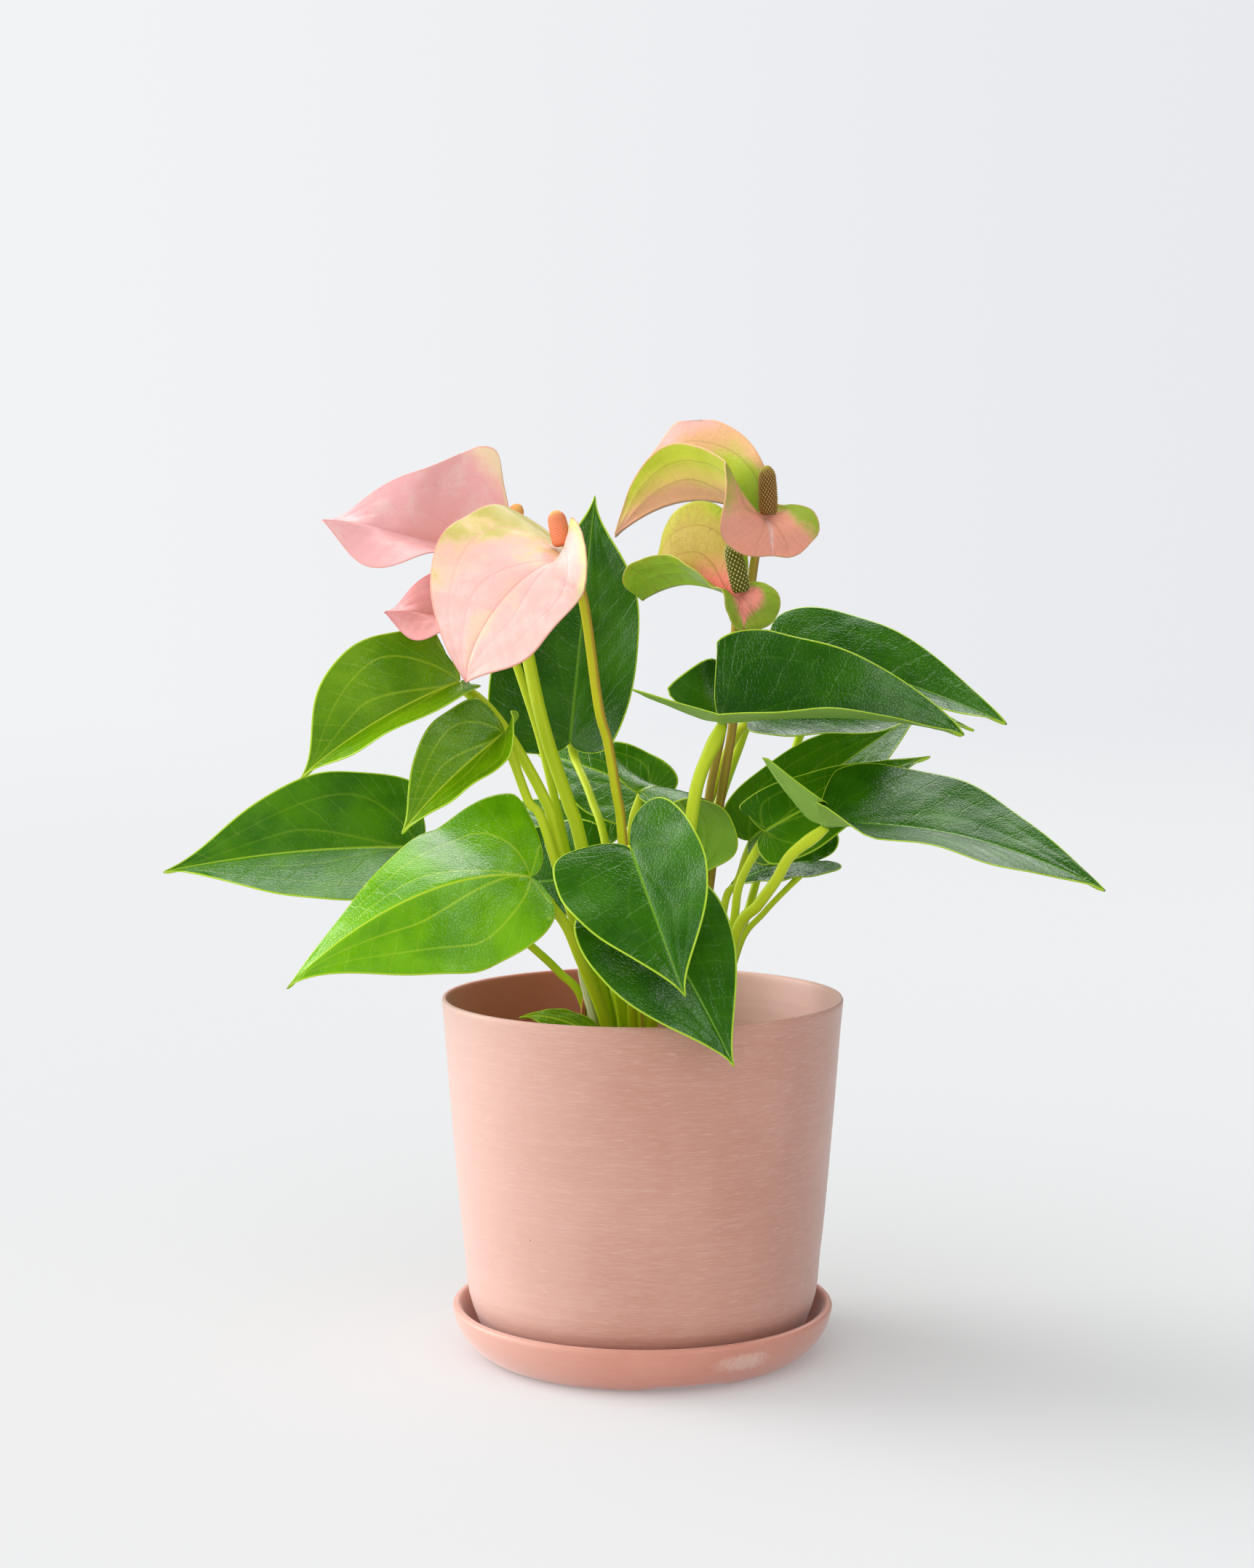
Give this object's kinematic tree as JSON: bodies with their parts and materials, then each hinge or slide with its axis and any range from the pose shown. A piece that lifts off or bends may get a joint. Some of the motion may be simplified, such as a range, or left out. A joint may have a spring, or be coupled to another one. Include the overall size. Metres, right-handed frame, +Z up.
{
  "type": "potted anthurium",
  "caption": "Flowering anthurium houseplant in a tapered clay pot on a round saucer, with heart-shaped leaves and pink to green spathes.",
  "frame": {"origin": "centre of the saucer's flat underside, on the surface that it stands on", "axes": "+Z up along the pot's axis, -Y towards the side that the picture was taken from, +X to the right as seen from there"},
  "size_m": [0.3232, 0.1954, 0.325],
  "materials": {
    "saucer": "matte",
    "pot": "matte",
    "soil": "matte",
    "leaf_dark": "satin",
    "leaf_mid": "satin",
    "leaf_young": "satin",
    "stem_green": "satin",
    "stem_olive": "satin",
    "spathe_pink": "satin",
    "spathe_green": "satin",
    "spadix_orange": "matte",
    "spadix_brown": "matte",
    "sheath": "matte"
  },
  "bodies": {
    "root": {"saucer": "saucer", "pot": "pot", "soil": "soil", "leaf_01": "leaf_young", "leaf_01_stem": "stem_green", "leaf_02": "leaf_young", "leaf_02_stem": "stem_green", "leaf_03": "leaf_mid", "leaf_03_stem": "stem_green", "leaf_04": "leaf_mid", "leaf_04_stem": "stem_green", "leaf_05": "leaf_mid", "leaf_05_stem": "stem_green", "leaf_06": "leaf_dark", "leaf_06_stem": "stem_green", "leaf_07": "leaf_dark", "leaf_07_stem": "stem_green", "leaf_08": "leaf_dark", "leaf_08_stem": "stem_green", "leaf_09": "leaf_mid", "leaf_09_stem": "stem_green", "leaf_10": "leaf_mid", "leaf_10_stem": "stem_green", "leaf_11": "leaf_dark", "leaf_11_stem": "stem_green", "leaf_12": "leaf_dark", "leaf_12_stem": "stem_green", "leaf_13": "leaf_dark", "leaf_13_stem": "stem_green", "leaf_14": "leaf_mid", "leaf_14_stem": "stem_green", "leaf_15": "leaf_mid", "leaf_15_stem": "stem_green", "leaf_16": "leaf_dark", "leaf_16_stem": "stem_green", "leaf_17": "leaf_dark", "leaf_17_stem": "stem_green", "leaf_18": "leaf_mid", "leaf_18_stem": "stem_green", "leaf_19": "leaf_young", "leaf_19_stem": "stem_green", "leaf_20": "leaf_dark", "leaf_20_stem": "stem_green", "bloom_1_spathe": "spathe_pink", "bloom_1_spadix": "spadix_orange", "bloom_1_stem": "stem_green", "bloom_2_spathe": "spathe_pink", "bloom_2_spadix": "spadix_orange", "bloom_2_stem": "stem_green", "bloom_3_spathe": "spathe_pink", "bloom_3_spadix": "spadix_orange", "bloom_3_stem": "stem_green", "bloom_4_spathe": "spathe_green", "bloom_4_spadix": "spadix_brown", "bloom_4_stem": "stem_olive", "bloom_5_spathe": "spathe_green", "bloom_5_spadix": "spadix_brown", "bloom_5_stem": "stem_olive", "new_shoot": "stem_green", "dry_sheath": "sheath"}
  },
  "joints": []
}
